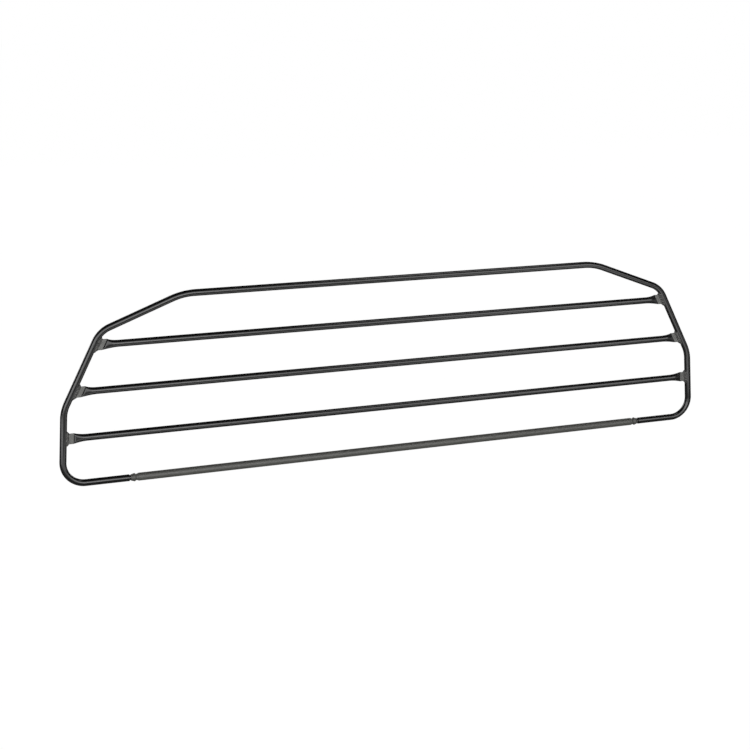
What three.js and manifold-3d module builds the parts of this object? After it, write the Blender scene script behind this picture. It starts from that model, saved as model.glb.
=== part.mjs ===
// Folding luggage rack: a bent tube hoop with three crossbars, hinged on a long straight tube.
// Millimetres, +Z up. The origin is the middle of the hinge tube, +X runs along that tube, and the
// rack stands upright in the XZ plane.

import * as THREE from 'three';
import { mergeVertices } from 'three/addons/utils/BufferGeometryUtils.js';
import Module from 'manifold-3d';

const wasm = await Module();
wasm.setup();

// Tube sizes
const TUBE_OD = 12;
const TUBE_WALL = 1.5;
const HINGE_OD = 14;
const HINGE_BORE = 12.2;
const GAP = 0.3;
const BAR_END_GAP = 0.6;

// Outline of the hoop's right half: where the straight axes meet, and the bend radius there
const FOOT_BEND = { x: 620, z: 0, radius: 37, steps: 12 };
const SIDE_BEND = { x: 611, z: 130, radius: 66, steps: 4 };
const UPPER_BEND = { x: 543, z: 263, radius: 45, steps: 6 };
const TOP_BEND = { x: 398, z: 318, radius: 118, steps: 4 };

// Crossbar axis heights, and their pressed ends. Fullness is how quickly the flat's thickness
// fills out from its two edges.
const BAR_HEIGHTS = { lower: 80.5, middle: 161, upper: 240 };
const FLAT_THICKNESS = 3.4;
const FLAT_WIDTH = 18.8;
const FLAT_LENGTH = 11;
const FLAT_FULLNESS = 2.2;
const SWAGE_LENGTH = 24;
const SWAGE_STEPS = 6;
const SLIT = 0.4;

// Weld fillets, measured from the hoop's axis towards the bar. The corner is a share of the
// fillet's half height and half thickness.
const WELD_DEEP_END = 3;
const WELD_REACH = 10.6;
const WELD_ROOT_HEIGHT = 30;
const WELD_ROOT_THICKNESS = 9;
const WELD_TOE_HEIGHT = 20.6;
const WELD_TOE_THICKNESS = 5.2;
const WELD_CORNER = 0.45;

// Ends of the hinge tube, measured along X from its middle
const HINGE_LIP = 502.3;
const BEAD = 495.8;
const BEAD_WIDTH = 0.9;
const BEAD_OD = 14.7;
const BEAD_CROWN = 0.2;
const GROOVE = 492.6;
const GROOVE_OD = 10.6;
const GRIP_BORE = 9;
const SHOULDER = 489.2;
const SHOULDER_ROUND = 1.4;
const SHOULDER_EASE = 0.15;
const SHOULDER_DROP = 0.6;

// Hoop stubs inside the hinge tube
const STUB_END = 430;
const NECK_OD = 8.8;
const NECK_START = 488.2;
const NECK_END = 504;
const NECK_STEP = 1.2;

const SECTION_SEGMENTS = 12;

const gloss = () => new THREE.MeshStandardMaterial({ color: 0x0b0b0c, roughness: 0.28, metalness: 0.1 });
const satin = () => new THREE.MeshStandardMaterial({ color: 0x2c2c2a, roughness: 0.55, metalness: 0.2 });
const matt = () => new THREE.MeshStandardMaterial({ color: 0x1a1a1a, roughness: 0.6, metalness: 0.1 });

function ringShape(outerRadius, innerRadius) {
  const shape = new THREE.Shape();
  shape.absarc(0, 0, outerRadius, 0, 2 * Math.PI, false);
  if (innerRadius > 0) {
    const bore = new THREE.Path();
    bore.absarc(0, 0, innerRadius, 0, 2 * Math.PI, true);
    shape.holes.push(bore);
  }
  return shape;
}

function closed(geometry) {
  geometry.deleteAttribute('normal');
  geometry.deleteAttribute('uv');
  return mergeVertices(geometry, 1e-4);
}

function moveVertices(geometry, place) {
  const position = geometry.attributes.position;
  const point = new THREE.Vector3();
  for (let i = 0; i < position.count; i += 1) {
    point.fromBufferAttribute(position, i);
    place(point);
    position.setXYZ(i, point.x, point.y, point.z);
  }
  return geometry;
}

function toSolid(geometry) {
  return new wasm.Manifold(new wasm.Mesh({
    numProp: 3,
    vertProperties: new Float32Array(geometry.attributes.position.array),
    triVerts: new Uint32Array(geometry.index.array),
  }));
}

function fromSolid(solid) {
  const mesh = solid.getMesh();
  const geometry = new THREE.BufferGeometry();
  geometry.setAttribute('position', new THREE.BufferAttribute(mesh.vertProperties, 3));
  geometry.setIndex(new THREE.BufferAttribute(mesh.triVerts, 1));
  return geometry;
}

// A planar route made of straight runs and true arcs. Each step of an extrusion along it lands on
// one of its stations, so straight runs take one step and bends take as many as they ask for.
class BentRoute extends THREE.Curve {
  constructor() {
    super();
    this.stations = [];
  }

  add(x, z, heading) {
    this.stations.push({ x, z, heading });
  }

  get steps() {
    return this.stations.length - 1;
  }

  getUtoTmapping(u) {
    return u;
  }

  station(t) {
    return this.stations[Math.min(this.steps, Math.round(t * this.steps))];
  }

  getPoint(t) {
    const at = this.station(t);
    return new THREE.Vector3(at.x, 0, at.z);
  }

  getTangent(t) {
    const at = this.station(t);
    return new THREE.Vector3(Math.cos(at.heading), 0, Math.sin(at.heading));
  }
}

// Adds the arc that rounds the corner between the straights before, corner and after.
function addBend(route, before, corner, after) {
  const headingIn = Math.atan2(corner.z - before.z, corner.x - before.x);
  const headingOut = Math.atan2(after.z - corner.z, after.x - corner.x);
  const turn = Math.atan2(Math.sin(headingOut - headingIn), Math.cos(headingOut - headingIn));
  const side = Math.sign(turn);
  const tangent = corner.radius * Math.tan(Math.abs(turn) / 2);
  const startX = corner.x - tangent * Math.cos(headingIn);
  const startZ = corner.z - tangent * Math.sin(headingIn);
  const centreX = startX - side * corner.radius * Math.sin(headingIn);
  const centreZ = startZ + side * corner.radius * Math.cos(headingIn);
  for (let i = 0; i <= corner.steps; i += 1) {
    const heading = headingIn + turn * i / corner.steps;
    const x = centreX + side * corner.radius * Math.sin(heading);
    const z = centreZ - side * corner.radius * Math.cos(heading);
    route.add(x, z, heading);
  }
}

// Stations along a stub where its diameter changes, from its open end outwards
const stubStations = [
  STUB_END,
  NECK_START - NECK_STEP,
  NECK_START,
  NECK_END,
  NECK_END + NECK_STEP / 2,
  NECK_END + NECK_STEP,
];

function hoopRoute() {
  const mirrored = (bend) => ({ ...bend, x: -bend.x });
  const right = [FOOT_BEND, SIDE_BEND, UPPER_BEND, TOP_BEND];
  const left = right.map(mirrored).reverse();
  const corners = [...right, ...left];
  const route = new BentRoute();
  for (const x of stubStations) route.add(x, 0, 0);
  corners.forEach((corner, i) => {
    const before = corners[i - 1] ?? { x: 0, z: 0 };
    const after = corners[i + 1] ?? { x: 0, z: 0 };
    addBend(route, before, corner, after);
  });
  for (const x of [...stubStations].reverse()) route.add(-x, 0, 0);
  return route;
}

// How far the tube's skin is rolled inwards at a place along a stub
function neckDepth(x) {
  const full = (TUBE_OD - NECK_OD) / 2;
  const inner = (x - (NECK_START - NECK_STEP)) / NECK_STEP;
  const outer = (NECK_END + NECK_STEP - x) / NECK_STEP;
  const rounded = outer >= 1 ? 1 : 1 - Math.sqrt(Math.max(0, 1 - Math.max(0, outer) ** 2));
  return full * THREE.MathUtils.clamp(Math.min(inner, rounded), 0, 1);
}

function hoopGeometry(grow, bored) {
  const route = hoopRoute();
  const bore = bored ? TUBE_OD / 2 - TUBE_WALL : 0;
  const geometry = new THREE.ExtrudeGeometry(ringShape(TUBE_OD / 2 + grow, bore), {
    steps: route.steps,
    extrudePath: route,
    curveSegments: SECTION_SEGMENTS,
  });
  moveVertices(geometry, (point) => {
    const onStub = point.z < TUBE_OD && Math.abs(point.x) <= NECK_END + NECK_STEP;
    if (!onStub) return;
    const radius = Math.hypot(point.y, point.z);
    const scale = (radius - neckDepth(Math.abs(point.x))) / radius;
    point.y *= scale;
    point.z *= scale;
  });
  return closed(geometry);
}

// The side tube where a bar meets it: its axis, its slope dx/dz, and how much longer a
// horizontal distance is there than one square to the tube
function sideAt(height) {
  const [low, high] = height < SIDE_BEND.z ? [FOOT_BEND, SIDE_BEND] : [SIDE_BEND, UPPER_BEND];
  const slope = (high.x - low.x) / (high.z - low.z);
  return { x: low.x + slope * (height - low.z), slope, stretch: Math.hypot(1, slope) };
}

const easeOut = (t) => 1 - (1 - t) ** 2;

// A tube whose ends are pressed flat and cut parallel to the hoop's sides
function crossbarGeometry(height, { grow = 0, bored = true, endGap = BAR_END_GAP } = {}) {
  const side = sideAt(height);
  const end = side.x - (TUBE_OD / 2 + endGap) * side.stretch;
  const flatEnd = side.x - (TUBE_OD / 2 + BAR_END_GAP) * side.stretch - FLAT_LENGTH;
  const rightStations = [{ x: end, round: 0 }];
  for (let i = 0; i <= SWAGE_STEPS; i += 1) {
    const t = i / SWAGE_STEPS;
    rightStations.push({ x: flatEnd - SWAGE_LENGTH * t, round: easeOut(t) });
  }
  const leftStations = rightStations.map(({ x, round }) => ({ x: -x, round }));
  const stations = [...leftStations, ...rightStations.reverse()];
  const outer = TUBE_OD / 2;
  const inner = outer - TUBE_WALL;
  const geometry = new THREE.ExtrudeGeometry(ringShape(outer, bored ? inner : 0), {
    depth: 1,
    steps: stations.length - 1,
    bevelEnabled: false,
    curveSegments: SECTION_SEGMENTS,
  });
  moveVertices(geometry, (point) => {
    const { x, round } = stations[Math.round(point.z * (stations.length - 1))];
    const radius = Math.hypot(point.x, point.y);
    const onSkin = radius > (outer + inner) / 2;
    const across = point.x / radius;
    const up = point.y / radius;
    const halfThickness = onSkin ? FLAT_THICKNESS / 2 + grow : SLIT / 2;
    const halfWidth = FLAT_WIDTH / 2 + (onSkin ? grow : -TUBE_WALL);
    const roundRadius = onSkin ? radius + grow : radius;
    const flatY = halfThickness * THREE.MathUtils.clamp(FLAT_FULLNESS * across, -1, 1);
    const y = THREE.MathUtils.lerp(flatY, roundRadius * across, round);
    const z = THREE.MathUtils.lerp(halfWidth * up, roundRadius * up, round);
    const lean = Math.sign(x) * side.slope * z * (1 - round);
    point.set(x + lean, y, height + z);
  });
  return closed(geometry);
}

// A fillet round the pressed end of a bar: a tapered block, less the hoop and the bar
function weldGeometry(height, sign, hoop, bar) {
  const side = sideAt(height);
  const shape = new THREE.Shape();
  const corner = WELD_CORNER;
  const flat = 1 - corner;
  shape.absarc(flat, flat, corner, 0, Math.PI / 2, false);
  shape.absarc(-flat, flat, corner, Math.PI / 2, Math.PI, false);
  shape.absarc(-flat, -flat, corner, Math.PI, 1.5 * Math.PI, false);
  shape.absarc(flat, -flat, corner, 1.5 * Math.PI, 2 * Math.PI, false);
  const geometry = new THREE.ExtrudeGeometry(shape, {
    depth: 1,
    steps: 1,
    bevelEnabled: false,
    curveSegments: 2,
  });
  moveVertices(geometry, (point) => {
    const towardsToe = point.z;
    const distance = THREE.MathUtils.lerp(WELD_DEEP_END, WELD_REACH, towardsToe) * side.stretch;
    const thickness = THREE.MathUtils.lerp(WELD_ROOT_THICKNESS, WELD_TOE_THICKNESS, towardsToe);
    const tall = THREE.MathUtils.lerp(WELD_ROOT_HEIGHT, WELD_TOE_HEIGHT, towardsToe);
    const z = point.y * tall / 2;
    const x = side.x - distance + side.slope * z;
    point.set(sign * x, -sign * point.x * thickness / 2, height + z);
  });
  const block = toSolid(closed(geometry));
  return fromSolid(block.subtract(hoop).subtract(bar));
}

// The hinge tube: plain along its length, with a V groove rolled in behind each end and the
// end itself drawn in to a cone that grips the hoop's neck
function hingeTubeGeometry() {
  const skin = HINGE_OD / 2;
  const bore = HINGE_BORE / 2;
  const wall = skin - bore;
  const halfSkin = [
    [SHOULDER - SHOULDER_ROUND, skin],
    [SHOULDER, skin - SHOULDER_EASE],
    [SHOULDER + SHOULDER_ROUND, skin - SHOULDER_DROP],
    [GROOVE, GROOVE_OD / 2],
    [BEAD - BEAD_WIDTH, BEAD_OD / 2 - BEAD_CROWN],
    [BEAD, BEAD_OD / 2],
    [BEAD + BEAD_WIDTH, BEAD_OD / 2 - BEAD_CROWN],
    [HINGE_LIP, GRIP_BORE / 2 + wall / 2],
  ];
  const halfBore = [
    [HINGE_LIP, GRIP_BORE / 2],
    [HINGE_LIP - wall, GRIP_BORE / 2],
    [BEAD + BEAD_WIDTH, bore],
    [BEAD - BEAD_WIDTH, bore],
    [GROOVE + wall / 2, GRIP_BORE / 2],
    [GROOVE - wall / 2, GRIP_BORE / 2],
    [SHOULDER - SHOULDER_ROUND / 2, bore],
  ];
  const mirrored = (points) => points.map(([x, radius]) => [-x, radius]).reverse();
  const outline = [
    ...mirrored(halfSkin), ...halfSkin, ...halfBore, ...mirrored(halfBore),
  ];
  const points = outline.map(([x, radius]) => new THREE.Vector2(radius, x));
  points.push(points[0].clone());
  const geometry = new THREE.LatheGeometry(points, 2 * SECTION_SEGMENTS);
  geometry.rotateZ(-Math.PI / 2);
  return closed(geometry);
}

function named(name, geometry, material) {
  geometry.computeVertexNormals();
  const mesh = new THREE.Mesh(geometry, material);
  mesh.name = name;
  return mesh;
}

const luggageRack = new THREE.Group();
luggageRack.add(named('hinge_tube', hingeTubeGeometry(), satin()));

const rack = new THREE.Group();
rack.add(named('hoop_tube', hoopGeometry(0, true), gloss()));
const hoopEnvelope = toSolid(hoopGeometry(GAP, false));
for (const [place, height] of Object.entries(BAR_HEIGHTS)) {
  rack.add(named(`crossbar_${place}`, crossbarGeometry(height), gloss()));
  const barEnvelope = toSolid(crossbarGeometry(height, { grow: GAP, bored: false, endGap: -TUBE_OD / 2 }));
  for (const [hand, sign] of [['left', -1], ['right', 1]]) {
    const weld = weldGeometry(height, sign, hoopEnvelope, barEnvelope);
    rack.add(named(`weld_${place}_${hand}`, weld, matt()));
  }
}
luggageRack.add(rack);

export default luggageRack;
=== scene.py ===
"""A folding luggage rack: gloss black tube hoop and crossbars, hinged on a satin grey-black tube.

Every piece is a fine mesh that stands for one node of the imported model, in metres, +Z up, with
the origin in the middle of the hinge tube.
"""

import math
import random

import bmesh
import bpy
from mathutils import Matrix, Vector


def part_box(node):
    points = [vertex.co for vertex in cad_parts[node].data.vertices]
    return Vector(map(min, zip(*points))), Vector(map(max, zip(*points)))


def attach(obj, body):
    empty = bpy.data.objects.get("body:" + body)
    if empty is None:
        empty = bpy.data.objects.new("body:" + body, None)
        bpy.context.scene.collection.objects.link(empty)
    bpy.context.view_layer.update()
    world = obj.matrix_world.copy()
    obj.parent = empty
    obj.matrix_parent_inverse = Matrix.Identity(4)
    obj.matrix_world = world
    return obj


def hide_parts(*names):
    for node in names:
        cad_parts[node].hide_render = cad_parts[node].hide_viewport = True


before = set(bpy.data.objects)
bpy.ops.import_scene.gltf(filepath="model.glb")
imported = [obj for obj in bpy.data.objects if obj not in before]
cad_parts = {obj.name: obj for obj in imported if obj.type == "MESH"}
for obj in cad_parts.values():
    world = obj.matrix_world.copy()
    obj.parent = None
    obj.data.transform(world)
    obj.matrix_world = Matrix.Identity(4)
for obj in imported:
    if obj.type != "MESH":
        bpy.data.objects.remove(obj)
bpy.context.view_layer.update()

MM = 0.001

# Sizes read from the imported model
TUBE_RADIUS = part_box("hoop_tube")[1].y
HINGE_LOW, HINGE_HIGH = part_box("hinge_tube")
HINGE_LIP = HINGE_HIGH.x
FLOOR_HEIGHT = HINGE_LOW.z

# The hoop's outline, right half: where its straight axes meet, and the bend radius there
FOOT_BEND = {"x": 620 * MM, "z": 0.0, "radius": 37 * MM}
SIDE_BEND = {"x": 611 * MM, "z": 130 * MM, "radius": 66 * MM}
UPPER_BEND = {"x": 543 * MM, "z": 263 * MM, "radius": 45 * MM}
TOP_BEND = {"x": 398 * MM, "z": 318 * MM, "radius": 118 * MM}
BEND_STEP = math.radians(2.5)
BEND_OVAL = 0.035
STRAIGHT_STEP = 30 * MM
TUBE_WALL = 1.5 * MM

# Crossbars: from its pressed flat, a bar rises over a short shoulder, then swells and narrows
# to the round tube
BAR_PLACES = ("lower", "middle", "upper")
FLAT_THICKNESS = 3.4 * MM
FLAT_LENGTH = 11 * MM
FLAT_DISH = 0.2 * MM
FLAT_EDGE = 0.4 * MM
CREASE = 0.2 * MM
SHOULDER_RUN = 2.2 * MM
SHOULDER_RISE = 1.6 * MM
SHOULDER_POWER = 1.3
SHOULDER_STEPS = 7
SWELL_RUN = 15 * MM
SWELL_POWER = 1.6
SWAGE_LENGTH = 24 * MM
SWAGE_STEPS = 15

# Weld beads. Each run holds millimetres from the hoop's axis, millimetres from the rack's middle
# plane and bead radius, first beside the flat and then past its upper and lower edges.
WELD_REACH = 13.0 * MM
WELD_RIPPLES = 21
WELD_JITTER = 0.3 * MM
BEAD_SEED = 7
BEAD_SCATTER = (0.82, 1.18)
BEAD_SQUASH = (1, 1, 0.85)
CORE_RUN = ((7.0, 0.0, 2.4), (5.7, 0.0, 0.8))
ROOT_RUN = ((4.5, 3.7, 1.35), (4.9, 2.6, 0.7))
FACE_RUN = ((6.4, 2.7, 1.6), (5.7, 1.4, 0.8))
TOE_RUN = ((8.3, 1.65, 1.25), (8.3, 1.65, 1.25))

# The short row of beads that caps each edge of the flat, from the hoop towards the bar: for the
# first and the last, millimetres from the hoop's axis, millimetres past the flat's edge, and radius
EDGE_BEADS = 6
EDGE_DISTANCE = (6.2, 9.6)
EDGE_LIFT = (1.9, -0.5)
EDGE_RADIUS = (1.9, 1.1)
EDGE_SQUASH = (1.15, 1, 0.9)

# How the beads are fused into one surface
WELD_VOXEL = 0.28 * MM
SETTLE_FACTOR = 0.5
SETTLE_PASSES = 4

# Hoop stubs, necked where the hinge tube grips them
STUB_END = 430 * MM
STUB_EDGE = 0.5 * MM
NECK_START = 488.2 * MM
NECK_END = 504 * MM
NECK_STEP = 1.2 * MM
NECK_RADIUS = 4.4 * MM
NECK_INNER_RINGS = 4
NECK_OUTER_RINGS = 8

# The hinge tube and its rolled ends: places along X, radii, and half lengths along X
HINGE_RADIUS = 7 * MM
HINGE_BORE = 6.1 * MM
HINGE_STATIONS = (0.0, 150 * MM, 300 * MM, 450 * MM, 480 * MM)
BORE_STATION = 450 * MM
HINGE_SHOULDER = 489.2 * MM
HINGE_SHOULDER_BACK = 1.4 * MM
HINGE_SHOULDER_ROUND = 3 * MM
BORE_SHOULDER_BACK = 0.7 * MM
GROOVE = 492.6 * MM
GROOVE_RADIUS = 5.3 * MM
GROOVE_FLOOR_HALF = 0.25 * MM
GROOVE_INNER_RISE = 0.08 * MM
GROOVE_OUTER_RISE = 0.12 * MM
GROOVE_HALF = 0.45 * MM
BEAD = 495.8 * MM
BEAD_RADIUS = 7.35 * MM
BEAD_ROUND = 1.3 * MM
BEAD_HALF = 0.9 * MM
GRIP_BORE = 4.5 * MM
GRIP_START = 1.2 * MM
GRIP_END = 0.5 * MM
LIP_ROUND = 0.45 * MM

SEGMENTS = 48


# ---------------------------------------------------------------- mesh helpers


def ease_out(t):
    return 1 - (1 - t) ** 2


def smooth_step(t):
    t = min(1.0, max(0.0, t))
    return t * t * (3 - 2 * t)


def lerp(a, b, t):
    return a + (b - a) * t


def skin_rings(name, rings, loop=False, sharp_degrees=40):
    """A closed mesh through rings of points, capped at both ends, or joined end to end."""
    mesh = bpy.data.meshes.new(name)
    bm = bmesh.new()
    rows = [[bm.verts.new(point) for point in ring] for ring in rings]
    count = len(rows[0])
    pairs = list(zip(rows, rows[1:]))
    if loop:
        pairs.append((rows[-1], rows[0]))
    for near, far in pairs:
        for i in range(count):
            j = (i + 1) % count
            bm.faces.new((near[i], near[j], far[j], far[i]))
    if not loop:
        bm.faces.new(rows[0][::-1])
        bm.faces.new(rows[-1])
    bmesh.ops.recalc_face_normals(bm, faces=bm.faces[:])
    bm.to_mesh(mesh)
    bm.free()
    mesh.shade_smooth()
    mesh.set_sharp_from_angle(angle=math.radians(sharp_degrees))
    piece = bpy.data.objects.new(name, mesh)
    bpy.context.scene.collection.objects.link(piece)
    return piece


def finish_piece(piece, coat, body, node):
    """Gives a piece its coat, its body and its material slot, and puts it in its node's place."""
    piece.data.materials.append(coat)
    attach(piece, body)
    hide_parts(node)


# ---------------------------------------------------------------- materials


def material(name):
    """A new material, with its nodes, its links and its Principled shader."""
    made = bpy.data.materials.new(name)
    made.use_nodes = True
    nodes = made.node_tree.nodes
    return made, nodes, made.node_tree.links, nodes["Principled BSDF"]


def noise_node(nodes, links, coords, scale, detail=3.0, roughness=0.5):
    node = nodes.new("ShaderNodeTexNoise")
    node.inputs["Scale"].default_value = scale
    node.inputs["Detail"].default_value = detail
    node.inputs["Roughness"].default_value = roughness
    links.new(coords, node.inputs["Vector"])
    return node.outputs["Fac"]


def ramp(nodes, links, fac, stops):
    """A colour ramp through two or more stops of (position, colour)."""
    node = nodes.new("ShaderNodeValToRGB")
    elements = node.color_ramp.elements
    for element, (position, colour) in zip(elements, stops):
        element.position = position
        element.color = (*colour, 1)
    for position, colour in stops[2:]:
        element = elements.new(position)
        element.color = (*colour, 1)
    links.new(fac, node.inputs["Fac"])
    return node.outputs["Color"]


def grey(value):
    return (value, value, value)


def bump(nodes, links, height, distance, strength, previous=None):
    node = nodes.new("ShaderNodeBump")
    node.inputs["Distance"].default_value = distance
    node.inputs["Strength"].default_value = strength
    links.new(height, node.inputs["Height"])
    if previous is not None:
        links.new(previous, node.inputs["Normal"])
    return node.outputs["Normal"]


def object_coords(nodes, links, stretch=(1, 1, 1)):
    coords = nodes.new("ShaderNodeTexCoord")
    mapping = nodes.new("ShaderNodeMapping")
    mapping.inputs["Scale"].default_value = stretch
    links.new(coords.outputs["Object"], mapping.inputs["Vector"])
    return mapping.outputs["Vector"]


def gloss_enamel():
    """Gloss black enamel: orange peel, faint dust and handling marks."""
    made, nodes, links, shader = material("rack_gloss_black")
    coords = object_coords(nodes, links)
    cloud = noise_node(nodes, links, coords, scale=14, detail=5, roughness=0.6)
    base = ramp(nodes, links, cloud, [(0.3, (0.002, 0.002, 0.0021)), (0.75, (0.005, 0.005, 0.0048))])
    dust_noise = noise_node(nodes, links, coords, scale=1400, detail=2, roughness=0.7)
    dust = ramp(nodes, links, dust_noise, [(0.66, grey(0)), (0.74, grey(1))])
    mix = nodes.new("ShaderNodeMix")
    mix.data_type = "RGBA"
    links.new(base, mix.inputs["A"])
    mix.inputs["B"].default_value = (0.025, 0.025, 0.023, 1)
    links.new(dust, mix.inputs["Factor"])
    links.new(mix.outputs["Result"], shader.inputs["Base Color"])
    smudge = noise_node(nodes, links, coords, scale=55, detail=6, roughness=0.65)
    rough = ramp(nodes, links, smudge, [(0.3, grey(0.14)), (0.75, grey(0.24))])
    links.new(rough, shader.inputs["Roughness"])
    peel = noise_node(nodes, links, coords, scale=650, detail=2)
    normal = bump(nodes, links, peel, distance=0.00012, strength=0.08)
    links.new(normal, shader.inputs["Normal"])
    shader.inputs["IOR"].default_value = 1.5
    return made


def satin_coat():
    """Satin grey-black coat on the hinge tube: fine grain, faint lengthwise draw lines."""
    made, nodes, links, shader = material("hinge_satin_black")
    coords = object_coords(nodes, links)
    along = object_coords(nodes, links, stretch=(0.02, 1, 1))
    cloud = noise_node(nodes, links, coords, scale=18, detail=5, roughness=0.6)
    base = ramp(nodes, links, cloud, [(0.3, (0.03, 0.03, 0.0265)), (0.75, (0.042, 0.042, 0.0365))])
    links.new(base, shader.inputs["Base Color"])
    lines = noise_node(nodes, links, along, scale=900, detail=4, roughness=0.6)
    rough = ramp(nodes, links, lines, [(0.3, grey(0.52)), (0.7, grey(0.6))])
    links.new(rough, shader.inputs["Roughness"])
    grain = noise_node(nodes, links, coords, scale=2200, detail=2)
    normal = bump(nodes, links, lines, distance=0.00004, strength=0.15)
    normal = bump(nodes, links, grain, distance=0.00005, strength=0.15, previous=normal)
    links.new(normal, shader.inputs["Normal"])
    shader.inputs["IOR"].default_value = 1.68
    return made


def pressed_coat_and_highlight():
    """The enamel over the pressed flats: dull, with fine marks down it from the press, and lighter grey
    than the black enamel as painted highlight for the light the flats catch.
    """
    made, nodes, links, shader = material("pressed_dull_grey_highlight")
    coords = object_coords(nodes, links)
    down = object_coords(nodes, links, stretch=(1, 1, 0.15))
    marks = noise_node(nodes, links, down, scale=900, detail=4, roughness=0.6)
    # Painted highlight: this grey base is a lit copy of the black enamel; the marks in it are real.
    base = ramp(nodes, links, marks, [(0.3, (0.06, 0.06, 0.057)), (0.7, (0.085, 0.085, 0.08))])
    links.new(base, shader.inputs["Base Color"])
    shader.inputs["Roughness"].default_value = 0.45
    grain = noise_node(nodes, links, coords, scale=1800, detail=3)
    normal = bump(nodes, links, marks, distance=0.0002, strength=0.3)
    normal = bump(nodes, links, grain, distance=0.0001, strength=0.4, previous=normal)
    links.new(normal, shader.inputs["Normal"])
    return made


def weld_coat():
    """The same enamel over the weld beads, duller and uneven."""
    made, nodes, links, shader = material("weld_black")
    coords = object_coords(nodes, links)
    cloud = noise_node(nodes, links, coords, scale=320, detail=5, roughness=0.6)
    base = ramp(nodes, links, cloud, [(0.35, (0.004, 0.004, 0.004)), (0.65, (0.06, 0.059, 0.055))])
    links.new(base, shader.inputs["Base Color"])
    rough = ramp(nodes, links, cloud, [(0.3, grey(0.2)), (0.75, grey(0.36))])
    links.new(rough, shader.inputs["Roughness"])
    grain = noise_node(nodes, links, coords, scale=900, detail=4, roughness=0.6)
    normal = bump(nodes, links, grain, distance=0.0012, strength=0.6)
    links.new(normal, shader.inputs["Normal"])
    return made


# ---------------------------------------------------------------- the hoop


def bend_stations(before, corner, after):
    """Points and headings along the arc that rounds a corner, with how far into the bend each is."""
    heading_in = math.atan2(corner["z"] - before["z"], corner["x"] - before["x"])
    heading_out = math.atan2(after["z"] - corner["z"], after["x"] - corner["x"])
    turn = (heading_out - heading_in + math.pi) % (2 * math.pi) - math.pi
    radius = corner["radius"]
    tangent = radius * math.tan(turn / 2)
    start_x = corner["x"] - tangent * math.cos(heading_in)
    start_z = corner["z"] - tangent * math.sin(heading_in)
    centre_x = start_x - radius * math.sin(heading_in)
    centre_z = start_z + radius * math.cos(heading_in)
    steps = math.ceil(turn / BEND_STEP)
    stations = []
    for i in range(steps + 1):
        heading = heading_in + turn * i / steps
        x = centre_x + radius * math.sin(heading)
        z = centre_z - radius * math.cos(heading)
        stations.append((x, z, heading, math.sin(math.pi * i / steps)))
    return stations


def stub_places():
    """Distances along a stub, from its open end out to the foot bend, close where it is necked."""
    places = [STUB_END, STUB_END + STUB_EDGE, NECK_START - NECK_STEP]
    inner, outer = NECK_INNER_RINGS, NECK_OUTER_RINGS
    places += [NECK_START - NECK_STEP * (1 - i / inner) for i in range(1, inner + 1)]
    places += [NECK_END + NECK_STEP * i / outer for i in range(outer + 1)]
    return places


def neck_depth(x):
    """How far the stub's skin is rolled inwards, a rounded step at each end of the neck."""
    full = TUBE_RADIUS - NECK_RADIUS
    inner = smooth_step((x - (NECK_START - NECK_STEP)) / NECK_STEP)
    outer = min(1.0, max(0.0, (NECK_END + NECK_STEP - x) / NECK_STEP))
    return full * min(inner, 1 - math.sqrt(1 - outer**2))


def hoop_stations():
    """The whole hoop as (x, z, heading, how far into a bend), from the right stub to the left."""
    right = [FOOT_BEND, SIDE_BEND, UPPER_BEND, TOP_BEND]
    left = [{**corner, "x": -corner["x"]} for corner in reversed(right)]
    corners = right + left
    middle = {"x": 0.0, "z": 0.0}
    stations = [(x, 0.0, 0.0, 0.0) for x in stub_places()]
    for i, corner in enumerate(corners):
        before = corners[i - 1] if i else middle
        after = corners[i + 1] if i + 1 < len(corners) else middle
        bend = bend_stations(before, corner, after)
        x0, z0 = stations[-1][:2]
        x1, z1, heading = bend[0][:3]
        steps = max(1, round(math.hypot(x1 - x0, z1 - z0) / STRAIGHT_STEP))
        for k in range(1, steps):
            stations.append((lerp(x0, x1, k / steps), lerp(z0, z1, k / steps), heading, 0.0))
        stations += bend
    full_turn = math.pi * 2
    stations += [(-x, 0.0, full_turn, 0.0) for x in reversed(stub_places())]
    return stations


def hoop_ring(station, radius):
    """One ring of the hoop's tube. Bends are a touch oval, as a bent tube is."""
    x, z, heading, bent = station
    out = Vector((math.sin(heading), 0, -math.cos(heading)))
    side = Vector((0, 1, 0))
    if z < TUBE_RADIUS and abs(x) <= NECK_END + NECK_STEP:
        radius -= neck_depth(abs(x))
    squeeze = 1 - BEND_OVAL * bent
    ring = []
    for k in range(SEGMENTS):
        a = 2 * math.pi * k / SEGMENTS
        offset = out * (radius * squeeze * math.cos(a)) + side * (radius * math.sin(a))
        ring.append(Vector((x, 0, z)) + offset)
    return ring


def make_hoop(coat):
    """The hoop's skin and bore, joined at its two open ends."""
    stations = hoop_stations()
    skin = [hoop_ring(s, TUBE_RADIUS) for s in stations]
    bore = [hoop_ring(s, TUBE_RADIUS - TUBE_WALL) for s in stations]
    piece = skin_rings("hoop_tube_fine", skin + bore[::-1], loop=True)
    finish_piece(piece, coat, "rack", "hoop_tube")


# ---------------------------------------------------------------- crossbars


def side_slope(height):
    """Slope dx/dz of the hoop's right side at a height, and the x of its axis there."""
    low, high = (FOOT_BEND, SIDE_BEND) if height < SIDE_BEND["z"] else (SIDE_BEND, UPPER_BEND)
    slope = (high["x"] - low["x"]) / (high["z"] - low["z"])
    return slope, low["x"] + slope * (height - low["z"])


def stadium(fraction, half_width, half_thickness):
    """A point on a flat tube's outline, as (thickness, width), at a fraction of the way round."""
    quarter = fraction % 0.25 / 0.25
    index = int(fraction % 1 / 0.25)
    flat = half_width - half_thickness
    length = flat + math.pi / 2 * half_thickness
    along = quarter * length if index % 2 == 0 else (1 - quarter) * length
    if along < flat:
        thick, wide = half_thickness, along
    else:
        angle = (along - flat) / half_thickness
        thick = half_thickness * math.cos(angle)
        wide = flat + half_thickness * math.sin(angle)
    return (thick if index in (0, 3) else -thick), (wide if index < 2 else -wide)


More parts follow.
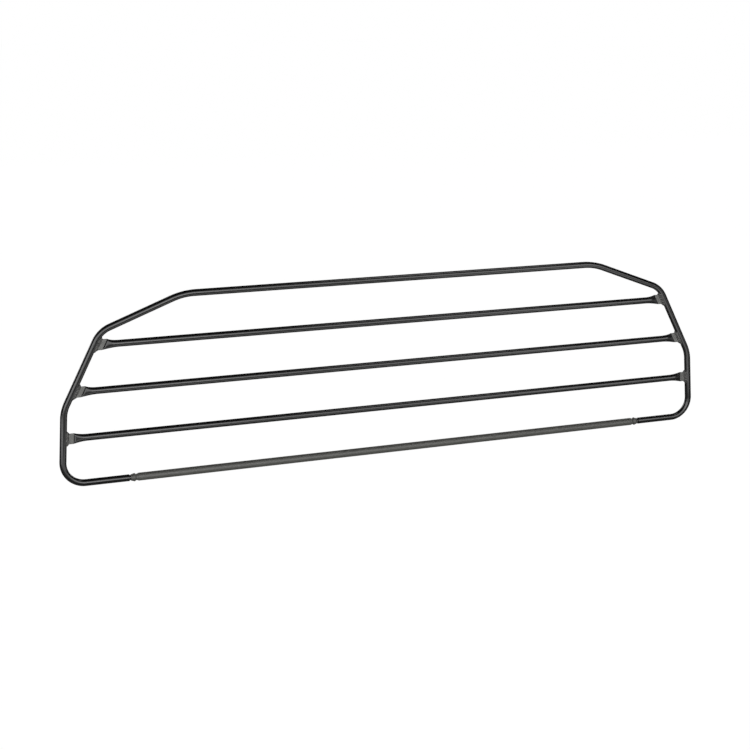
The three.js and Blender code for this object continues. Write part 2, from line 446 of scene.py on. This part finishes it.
def swage_section(inward, half_width):
    """A bar's half thickness, half height and roundness, at a distance inward from its crease."""
    if inward <= 0:
        return FLAT_THICKNESS / 2, half_width, 0.0
    t = min(1.0, inward / SWAGE_LENGTH)
    shoulder = SHOULDER_RISE * (1 - (1 - min(1.0, inward / SHOULDER_RUN)) ** SHOULDER_POWER)
    swell = 1 - (1 - min(1.0, inward / SWELL_RUN)) ** SWELL_POWER
    rest = (TUBE_RADIUS - FLAT_THICKNESS / 2 - SHOULDER_RISE) * swell
    thickness = FLAT_THICKNESS / 2 + shoulder + rest
    return thickness, lerp(half_width, TUBE_RADIUS, ease_out(t)), ease_out(t)


def crossbar_places(end):
    """Places along a bar's right end, from its round part outwards, as (x, distance inward)."""
    flat_end = end - FLAT_LENGTH
    inward = [SWAGE_LENGTH * (1 - i / SWAGE_STEPS) for i in range(SWAGE_STEPS - 1)]
    inward += [SHOULDER_RUN * (1 - i / SHOULDER_STEPS) for i in range(SHOULDER_STEPS)]
    inward += [0.0, -CREASE, FLAT_EDGE - FLAT_LENGTH, -FLAT_LENGTH]
    return [(flat_end - distance, distance) for distance in inward]


def bar_ring(x, inward, height, half_width, slope):
    """One ring of a crossbar, leaning with the hoop's side where the bar is flat."""
    thickness, tall, roundness = swage_section(inward, half_width)
    ring = []
    for k in range(SEGMENTS):
        fraction = (k + 0.5) / SEGMENTS
        angle = 2 * math.pi * fraction
        flat_y, flat_z = stadium(fraction, tall, thickness)
        dish = FLAT_DISH * math.cos(math.pi / 2 * min(1, abs(flat_z) / tall)) ** 2
        flat_y -= math.copysign(dish, flat_y)
        y = lerp(flat_y, thickness * math.cos(angle), roundness)
        z = lerp(flat_z, tall * math.sin(angle), roundness)
        lean = (slope if x > 0 else -slope) * z * (1 - roundness)
        ring.append(Vector((x + lean, y, height + z)))
    return ring


def make_crossbar(place, coat, flat_coat_and_highlight):
    """A bar in the coat, with the lighter grey coat of painted highlight on every face of its pressed
    flats.
    """
    node = f"crossbar_{place}"
    low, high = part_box(node)
    height = (low.z + high.z) / 2
    half_width = (high.z - low.z) / 2
    slope, _ = side_slope(height)
    half = crossbar_places(high.x + slope * half_width)
    round_end = half[0][0]
    steps = round(2 * round_end / STRAIGHT_STEP)
    middle = [(lerp(-round_end, round_end, k / steps), SWAGE_LENGTH) for k in range(1, steps)]
    places = [(-x, inward) for x, inward in reversed(half)] + middle + half
    rings = [bar_ring(x, inward, height, half_width, slope) for x, inward in places]
    piece = skin_rings(f"{node}_fine", rings, sharp_degrees=28)
    finish_piece(piece, coat, "rack", node)
    piece.data.materials.append(flat_coat_and_highlight)
    for face in piece.data.polygons:
        on_flat = all(places[index // SEGMENTS][1] <= 0 for index in face.vertices)
        face.material_index = 1 if on_flat else 0


# ---------------------------------------------------------------- welds


def add_blob(bm, centre, radius, squash):
    """A ball of weld metal, squashed along X, Y and Z."""
    size = Matrix.Diagonal((radius * squash[0], radius * squash[1], radius * squash[2], 1))
    bmesh.ops.create_icosphere(bm, subdivisions=2, radius=1, matrix=Matrix.Translation(centre) @ size)


def weld_blobs(height, half_width, sign, draw):
    """Overlapping beads that run round a pressed bar end where it meets the hoop."""
    slope, side_x = side_slope(height)
    stretch = math.hypot(1, slope)
    bm = bmesh.new()

    def bead(distance, y, z, radius, squash=BEAD_SQUASH):
        jitter = [draw.uniform(-WELD_JITTER, WELD_JITTER) for _ in range(3)]
        x = side_x - (distance + jitter[0]) * stretch + slope * z
        centre = Vector((sign * x, y + jitter[1], height + z + jitter[2]))
        add_blob(bm, centre, radius * draw.uniform(*BEAD_SCATTER), squash)

    def run_bead(run, past, face, z):
        distance, y, radius = [lerp(beside, beyond, past) * MM for beside, beyond in zip(*run)]
        bead(distance, face * y, z, radius)

    for i in range(WELD_RIPPLES):
        t = 2 * i / (WELD_RIPPLES - 1) - 1
        z = WELD_REACH * t
        past = smooth_step((abs(z) - half_width) / (WELD_REACH - half_width))
        run_bead(CORE_RUN, past, 1, z)
        for face in (-1, 1):
            run_bead(ROOT_RUN, past, face, z)
            run_bead(FACE_RUN, past, face, z)
            if abs(z) < half_width:
                run_bead(TOE_RUN, past, face, z)
    for end in (-1, 1):
        for k in range(EDGE_BEADS):
            along = k / (EDGE_BEADS - 1)
            z = end * (half_width + lerp(*EDGE_LIFT, ease_out(along)) * MM)
            bead(lerp(*EDGE_DISTANCE, along) * MM, 0, z, lerp(*EDGE_RADIUS, along) * MM, EDGE_SQUASH)
    return bm


def make_weld(place, hand, sign, coat, draw):
    """A weld's beads, fused into one skin by a voxel remesh and a little smoothing."""
    node = f"weld_{place}_{hand}"
    bar_low, bar_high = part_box(f"crossbar_{place}")
    height = (bar_low.z + bar_high.z) / 2
    bm = weld_blobs(height, (bar_high.z - bar_low.z) / 2, sign, draw)
    rough = bpy.data.meshes.new(f"{node}_beads")
    bm.to_mesh(rough)
    bm.free()
    piece = bpy.data.objects.new(f"{node}_fine", rough)
    bpy.context.scene.collection.objects.link(piece)
    remesh = piece.modifiers.new("fuse", "REMESH")
    remesh.mode = "VOXEL"
    remesh.voxel_size = WELD_VOXEL
    smooth = piece.modifiers.new("settle", "SMOOTH")
    smooth.factor = SETTLE_FACTOR
    smooth.iterations = SETTLE_PASSES
    depsgraph = bpy.context.evaluated_depsgraph_get()
    fused = bpy.data.meshes.new_from_object(piece.evaluated_get(depsgraph))
    piece.modifiers.clear()
    piece.data = fused
    fused.name = f"{node}_fine"
    fused.shade_smooth()
    finish_piece(piece, coat, "rack", node)


# ---------------------------------------------------------------- the hinge tube


def arc_points(centre_x, centre_r, radius, start, end, steps):
    """Points on an arc of the hinge tube's outline, angles in degrees from the tube's axis."""
    points = []
    for i in range(steps + 1):
        a = math.radians(lerp(start, end, i / steps))
        points.append((centre_x + radius * math.cos(a), centre_r + radius * math.sin(a)))
    return points


def hinge_outline():
    """Half outline as (x, radius), from the middle out along the skin and back along the bore."""
    skin = [(x, HINGE_RADIUS) for x in HINGE_STATIONS]
    shoulder_x = HINGE_SHOULDER - HINGE_SHOULDER_BACK
    shoulder_r = HINGE_RADIUS - HINGE_SHOULDER_ROUND
    skin += arc_points(shoulder_x, shoulder_r, HINGE_SHOULDER_ROUND, 90, 58, 6)
    skin += [(GROOVE - GROOVE_FLOOR_HALF, GROOVE_RADIUS + GROOVE_INNER_RISE), (GROOVE, GROOVE_RADIUS)]
    skin += [(GROOVE + GROOVE_FLOOR_HALF, GROOVE_RADIUS + GROOVE_OUTER_RISE)]
    skin += arc_points(BEAD, BEAD_RADIUS - BEAD_ROUND, BEAD_ROUND, 140, 50, 8)
    skin += arc_points(HINGE_LIP - LIP_ROUND, GRIP_BORE + LIP_ROUND, LIP_ROUND, 68, -10, 5)
    bore = [(HINGE_LIP - GRIP_END, GRIP_BORE), (HINGE_LIP - GRIP_START, GRIP_BORE)]
    bore += [(BEAD + BEAD_HALF, HINGE_BORE), (BEAD - BEAD_HALF, HINGE_BORE)]
    bore += [(GROOVE + GROOVE_HALF, GRIP_BORE), (GROOVE - GROOVE_HALF, GRIP_BORE)]
    bore += [(HINGE_SHOULDER - BORE_SHOULDER_BACK, HINGE_BORE)]
    bore += [(BORE_STATION, HINGE_BORE), (0.0, HINGE_BORE)]
    return skin, bore


def make_hinge_tube(coat):
    """The outline and its mirror image, turned about the tube's axis."""
    skin, bore = hinge_outline()
    mirrored_skin = [(-x, r) for x, r in reversed(skin[1:])]
    mirrored_bore = [(-x, r) for x, r in reversed(bore[:-1])]
    outline = mirrored_skin + skin + bore + mirrored_bore
    turn = [2 * math.pi * k / SEGMENTS for k in range(SEGMENTS)]
    rings = []
    for x, radius in outline:
        rings.append([Vector((x, radius * math.cos(a), radius * math.sin(a))) for a in turn])
    piece = skin_rings("hinge_tube_fine", rings, loop=True, sharp_degrees=35)
    finish_piece(piece, coat, "hinge_tube", "hinge_tube")


# ---------------------------------------------------------------- stage, light and camera

CAMERA_PLACE = Vector((-0.97904, -2.48886, 0.78043))
CAMERA_AZIMUTH = 20.533
CAMERA_DIP = 13.501
CAMERA_ROLL = -0.376
CAMERA_LENS = 72.0
CAMERA_SENSOR = 36.0
CAMERA_CLIP_END = 500.0

FLOOR_REACH = 40.0
FLOOR_DROP = 0.2 * MM
FLOOR_GLOW = 1.0
FLOOR_BASE = (0.01, 0.01, 0.01, 1)
FLOOR_ROUGHNESS = 0.9
DOME_RADIUS = 59.0
DOME_GLOW = 1.0
ROOM_GLOW = 0.004

# What the gloss sees of the floor. A strip lies between two x, and its brightness follows stops
# of (metres in front of the rack, brightness).
STRIP_REACH = 12.0
STRIP_DROP = 1 * MM
SHEEN_REACH = 1.2
SHEEN_PEAK = 4.0
SHEEN_STRIPS = {
    "far_left": {
        "x": (-STRIP_REACH, -0.74),
        "stops": [(0.0, 0.1), (0.08, 1.0), (0.18, 3.6), (0.35, 3.6), (0.6, 0.8), (1.0, 0.5)],
    },
    "left": {
        "x": (-0.74, 0.25),
        "stops": [(0.0, 0.1), (0.08, 0.4), (0.12, 1.9), (0.17, 1.8), (0.23, 0.7), (0.5, 0.45), (1.0, 0.2)],
    },
    "right": {
        "x": (0.25, 0.67),
        "stops": [(0.0, 0.1), (0.13, 0.5), (0.2, 1.0), (0.26, 2.9), (0.38, 2.9), (0.46, 0.8), (1.0, 0.4)],
    },
    "far_right": {
        "x": (0.67, STRIP_REACH),
        "stops": [(0.0, 0.05), (0.2, 0.15), (0.4, 0.6), (1.0, 0.8)],
    },
}

# Soft panels: name, place, (width, height), radiance, and the way each one shines
FORWARD, BACKWARD, DOWN = (0, 1, 0), (0, -1, 0), (0, 0, -1)
PANELS = [
    ("front_far_left", (-4.0, -2.9, 1.2), (4.0, 2.4), 4.2, FORWARD),
    ("front_left", (-0.85, -2.9, 1.2), (2.3, 2.4), 3.0, FORWARD),
    ("front_middle", (1.0, -2.9, 1.2), (1.4, 2.4), 2.9, FORWARD),
    ("front_right", (2.22, -2.9, 1.2), (1.05, 2.4), 3.6, FORWARD),
    ("front_low", (0.0, -2.85, 0.5), (0.9, 1.1), 2.8, FORWARD),
    ("overhead", (1.15, -0.2, 2.8), (0.9, 1.5), 2.0, DOWN),
    ("back_left", (-3.45, 6.0, 2.4), (7.1, 4.2), 2.9, BACKWARD),
    ("back_right", (7.6, 6.0, 2.4), (6.0, 4.2), 2.9, BACKWARD),
]


def make_camera():
    """The camera, turned by its azimuth, tipped down and rolled a little."""
    data = bpy.data.cameras.new("camera")
    data.lens = CAMERA_LENS
    data.sensor_width = CAMERA_SENSOR
    data.clip_end = CAMERA_CLIP_END
    data.dof.use_dof = False
    camera = bpy.data.objects.new("camera", data)
    bpy.context.scene.collection.objects.link(camera)
    turn = Matrix.Rotation(math.radians(-CAMERA_AZIMUTH), 4, "Z")
    tip = Matrix.Rotation(math.radians(90 - CAMERA_DIP), 4, "X")
    roll = Matrix.Rotation(math.radians(CAMERA_ROLL), 4, "Z")
    camera.matrix_world = Matrix.Translation(CAMERA_PLACE) @ turn @ tip @ roll
    bpy.context.scene.camera = camera


def glow_material(name):
    """Plain white light given off by a surface, with its nodes, its links and its glow shader."""
    made = bpy.data.materials.new(name)
    made.use_nodes = True
    nodes, links = made.node_tree.nodes, made.node_tree.links
    nodes.clear()
    glow = nodes.new("ShaderNodeEmission")
    glow.inputs["Color"].default_value = (1, 1, 1, 1)
    out = nodes.new("ShaderNodeOutputMaterial")
    links.new(glow.outputs["Emission"], out.inputs["Surface"])
    return made, nodes, links, glow


def sheen_material(name, stops):
    """Floor glow that follows stops of (metres in front of the rack, brightness)."""
    made, nodes, links, glow = glow_material(name)
    coords = nodes.new("ShaderNodeTexCoord")
    split = nodes.new("ShaderNodeSeparateXYZ")
    links.new(coords.outputs["Object"], split.inputs["Vector"])
    ahead = nodes.new("ShaderNodeMapRange")
    ahead.inputs["From Min"].default_value = 0.0
    ahead.inputs["From Max"].default_value = -SHEEN_REACH
    links.new(split.outputs["Y"], ahead.inputs["Value"])
    shades = [(metres / SHEEN_REACH, grey(value / SHEEN_PEAK)) for metres, value in stops]
    lift = nodes.new("ShaderNodeMath")
    lift.operation = "MULTIPLY"
    links.new(ramp(nodes, links, ahead.outputs["Result"], shades), lift.inputs[0])
    lift.inputs[1].default_value = SHEEN_PEAK
    links.new(lift.outputs[0], glow.inputs["Strength"])
    return made


def sheet(name, low, high, height, coat):
    """A flat rectangle of the stage, from one (x, y) corner to the other."""
    mesh = bpy.data.meshes.new(name)
    corners = [(low[0], low[1], 0), (high[0], low[1], 0), (high[0], high[1], 0), (low[0], high[1], 0)]
    mesh.from_pydata(corners, [], [(0, 1, 2, 3)])
    mesh.materials.append(coat)
    made = bpy.data.objects.new(name, mesh)
    made.location.z = height
    bpy.context.scene.collection.objects.link(made)
    return made


def floor_paint():
    """White without shading: nearly all of the floor's brightness is its own glow."""
    paint = bpy.data.materials.new("floor_white")
    paint.use_nodes = True
    shader = paint.node_tree.nodes["Principled BSDF"]
    shader.inputs["Base Color"].default_value = FLOOR_BASE
    shader.inputs["Roughness"].default_value = FLOOR_ROUGHNESS
    shader.inputs["Specular IOR Level"].default_value = 0.0
    shader.inputs["Emission Color"].default_value = (1, 1, 1, 1)
    shader.inputs["Emission Strength"].default_value = FLOOR_GLOW
    return paint


def make_stage():
    """A plain white floor, what the gloss sees of it, and a white dome that only the camera sees."""
    near, far = (-FLOOR_REACH, -FLOOR_REACH), (FLOOR_REACH, FLOOR_REACH)
    floor = sheet("floor", near, far, FLOOR_HEIGHT - FLOOR_DROP, floor_paint())
    floor.visible_glossy = False
    for side, strip_plan in SHEEN_STRIPS.items():
        coat = sheen_material(f"sheen_{side}", strip_plan["stops"])
        start, end = strip_plan["x"]
        near, far = (start, -STRIP_REACH), (end, STRIP_REACH)
        strip = sheet(f"floor_sheen_{side}", near, far, FLOOR_HEIGHT - STRIP_DROP, coat)
        strip.visible_camera = False
        strip.visible_diffuse = False
        strip.visible_shadow = False
    dome_mesh = bpy.data.meshes.new("dome")
    bm = bmesh.new()
    bmesh.ops.create_uvsphere(bm, u_segments=48, v_segments=24, radius=DOME_RADIUS)
    bm.to_mesh(dome_mesh)
    bm.free()
    dome_white, _, _, glow = glow_material("dome_white")
    glow.inputs["Strength"].default_value = DOME_GLOW
    dome_mesh.materials.append(dome_white)
    dome = bpy.data.objects.new("dome", dome_mesh)
    bpy.context.scene.collection.objects.link(dome)
    dome.visible_glossy = False
    dome.visible_diffuse = False
    dome.visible_shadow = False


def panel(name, place, size, radiance, facing):
    """A soft rectangular light at a place, shining the way it faces."""
    width, tall = size
    data = bpy.data.lights.new(name, "AREA")
    data.shape = "RECTANGLE"
    data.size = width
    data.size_y = tall
    data.energy = radiance * math.pi * width * tall
    light = bpy.data.objects.new(name, data)
    bpy.context.scene.collection.objects.link(light)
    light.location = place
    light.rotation_euler = Vector(facing).to_track_quat("-Z", "Y").to_euler()
    light.visible_camera = False


def make_lights():
    """The panels, and a very dim room round them."""
    for name, place, size, radiance, facing in PANELS:
        panel(name, place, size, radiance, facing)
    world = bpy.data.worlds.new("studio")
    world.use_nodes = True
    background = world.node_tree.nodes["Background"]
    background.inputs["Color"].default_value = (1, 1, 1, 1)
    background.inputs["Strength"].default_value = ROOM_GLOW
    bpy.context.scene.world = world
    bpy.context.scene.view_settings.view_transform = "Standard"


make_camera()
make_stage()
make_lights()

enamel = gloss_enamel()
make_hoop(enamel)
# The pressed flats get a lighter grey copy of the enamel: painted highlight.
flat_coat_and_highlight = pressed_coat_and_highlight()
for place in BAR_PLACES:
    make_crossbar(place, enamel, flat_coat_and_highlight)
bead_coat = weld_coat()
bead_draw = random.Random(BEAD_SEED)
for place in BAR_PLACES:
    for hand, sign in (("left", -1), ("right", 1)):
        make_weld(place, hand, sign, bead_coat, bead_draw)
make_hinge_tube(satin_coat())
